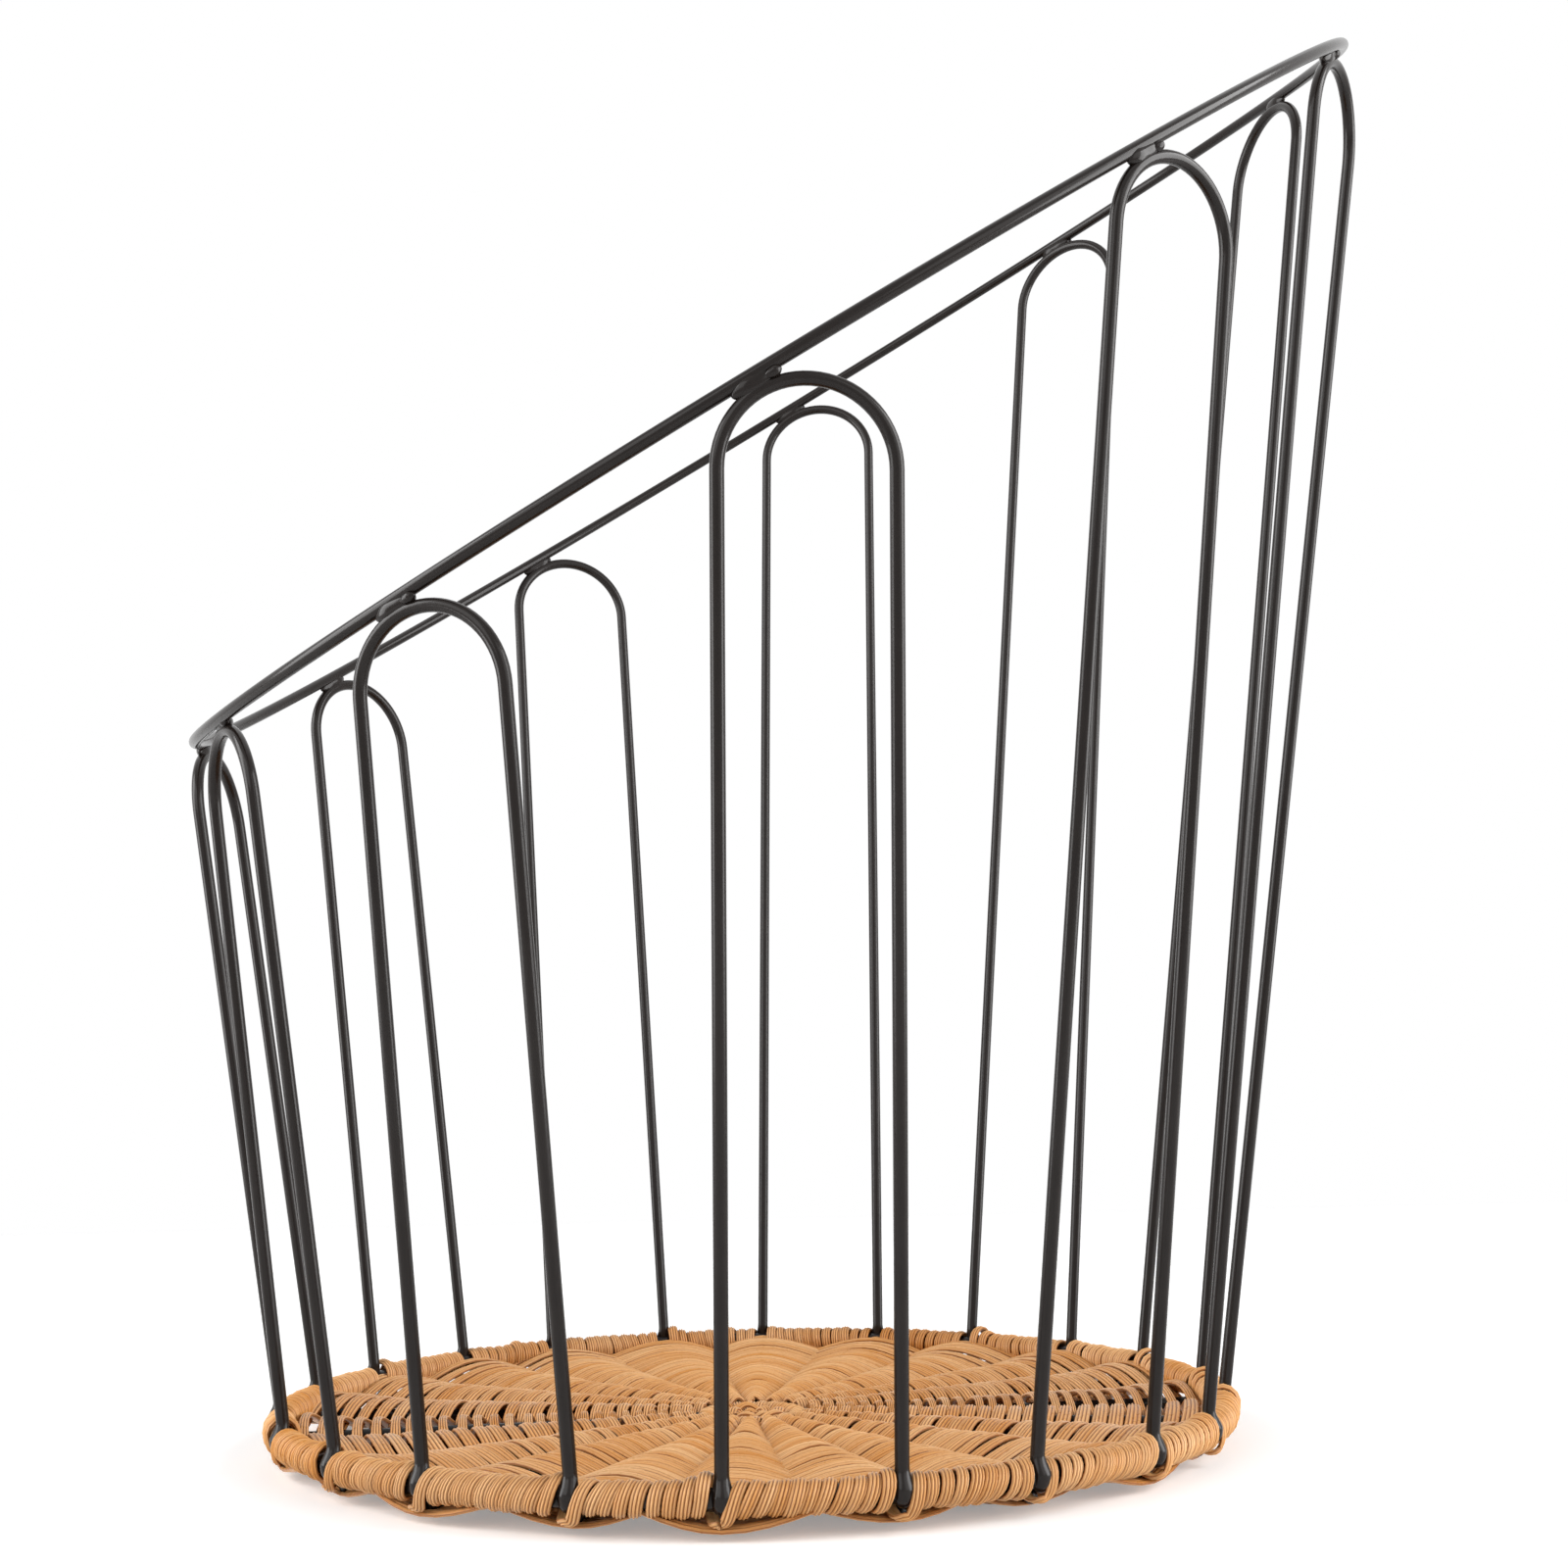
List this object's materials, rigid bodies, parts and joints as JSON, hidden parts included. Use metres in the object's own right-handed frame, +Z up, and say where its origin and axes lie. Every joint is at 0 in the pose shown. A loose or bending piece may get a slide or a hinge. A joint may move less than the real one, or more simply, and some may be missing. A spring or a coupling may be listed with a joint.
{
  "type": "wire basket",
  "caption": "Tall black wire basket with a slanted oval mouth, hairpin arches round its side and a flat base woven from ribbed honey-brown strip.",
  "frame": {"origin": "middle of the base's underside, on the floor", "axes": "+Z up along the base's axis, -Y towards the camera of the picture, the mouth rises towards +X and a little +Y"},
  "size_m": [0.2658, 0.2662, 0.3242],
  "materials": {
    "black_coat": "satin black powder coat on steel wire",
    "honey_strip": "ribbed honey-brown plastic strip with a low sheen"
  },
  "bodies": {
    "root": {"top_ring": "black_coat", "base_ring": "black_coat", "hub_ring": "black_coat", "arch_01": "black_coat", "arch_02": "black_coat", "arch_03": "black_coat", "arch_04": "black_coat", "arch_05": "black_coat", "arch_06": "black_coat", "arch_07": "black_coat", "arch_08": "black_coat", "arch_09": "black_coat", "arch_10": "black_coat", "arch_11": "black_coat", "spoke_01": "black_coat", "spoke_02": "black_coat", "spoke_03": "black_coat", "spoke_04": "black_coat", "spoke_05": "black_coat", "spoke_06": "black_coat", "spoke_07": "black_coat", "spoke_08": "black_coat", "spoke_09": "black_coat", "spoke_10": "black_coat", "spoke_11": "black_coat", "spoke_12": "black_coat", "spoke_13": "black_coat", "spoke_14": "black_coat", "spoke_15": "black_coat", "spoke_16": "black_coat", "spoke_17": "black_coat", "spoke_18": "black_coat", "spoke_19": "black_coat", "spoke_20": "black_coat", "spoke_21": "black_coat", "spoke_22": "black_coat", "weave_strip_a": "honey_strip", "weave_strip_b": "honey_strip", "centre_knot": "honey_strip", "rim_binding": "honey_strip"}
  },
  "joints": []
}
